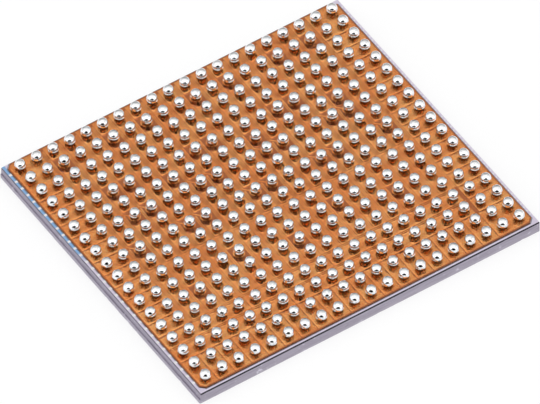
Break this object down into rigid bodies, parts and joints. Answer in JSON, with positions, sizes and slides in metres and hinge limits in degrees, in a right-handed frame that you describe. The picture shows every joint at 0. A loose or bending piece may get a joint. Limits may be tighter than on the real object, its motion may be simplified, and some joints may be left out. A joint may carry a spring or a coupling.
{
  "type": "ball grid array chip",
  "caption": "Wafer-level ball grid array chip: thin silicon die with an amber film over copper wiring and a full grid of solder balls on its face.",
  "frame": {"origin": "centre of the bounding box in plan, on the ground back of the die", "axes": "+X along the long side, +Y along the short side, +Z out of the ball side"},
  "size_m": [0.0082, 0.0074, 0.0005],
  "materials": {
    "silicon": "saw-cut and ground silicon, cool lavender grey, satin",
    "passivation": "thin clear glass over the circuit, lavender with a sky-blue stretch",
    "seal_metal": "bright metal line",
    "pad_aluminium": "plain aluminium",
    "mark_metal": "bright metal squares",
    "base_film": "amber polyimide, glossy",
    "copper": "plated copper",
    "cover_film": "glossy amber-orange polyimide that follows the copper under it",
    "bump_pad": "plated bump pad",
    "solder": "reflowed tin-silver-copper solder, bright with a fine dimpled grain"
  },
  "bodies": {
    "root": {"silicon_die": "silicon", "circuit_layers": "passivation", "seal_ring": "seal_metal", "die_pads": "pad_aluminium", "left_edge_marks": "mark_metal", "right_edge_marks": "mark_metal", "base_polyimide": "base_film", "copper_fingers": "copper", "copper_columns": "copper", "copper_bands": "copper", "copper_signal_lines": "copper", "copper_bus": "copper", "cover_polyimide": "cover_film", "bump_pads_row_a": "bump_pad", "bump_pads_row_b": "bump_pad", "bump_pads_row_c": "bump_pad", "bump_pads_row_d": "bump_pad", "bump_pads_row_e": "bump_pad", "bump_pads_row_f": "bump_pad", "bump_pads_row_g": "bump_pad", "bump_pads_row_h": "bump_pad", "bump_pads_row_j": "bump_pad", "bump_pads_row_k": "bump_pad", "bump_pads_row_l": "bump_pad", "bump_pads_row_m": "bump_pad", "bump_pads_row_n": "bump_pad", "bump_pads_row_p": "bump_pad", "bump_pads_row_r": "bump_pad", "bump_pads_row_t": "bump_pad", "bump_pads_row_u": "bump_pad", "bump_pads_row_v": "bump_pad", "solder_balls_row_a": "solder", "solder_balls_row_b": "solder", "solder_balls_row_c": "solder", "solder_balls_row_d": "solder", "solder_balls_row_e": "solder", "solder_balls_row_f": "solder", "solder_balls_row_g": "solder", "solder_balls_row_h": "solder", "solder_balls_row_j": "solder", "solder_balls_row_k": "solder", "solder_balls_row_l": "solder", "solder_balls_row_m": "solder", "solder_balls_row_n": "solder", "solder_balls_row_p": "solder", "solder_balls_row_r": "solder", "solder_balls_row_t": "solder", "solder_balls_row_u": "solder", "solder_balls_row_v": "solder"}
  },
  "joints": []
}
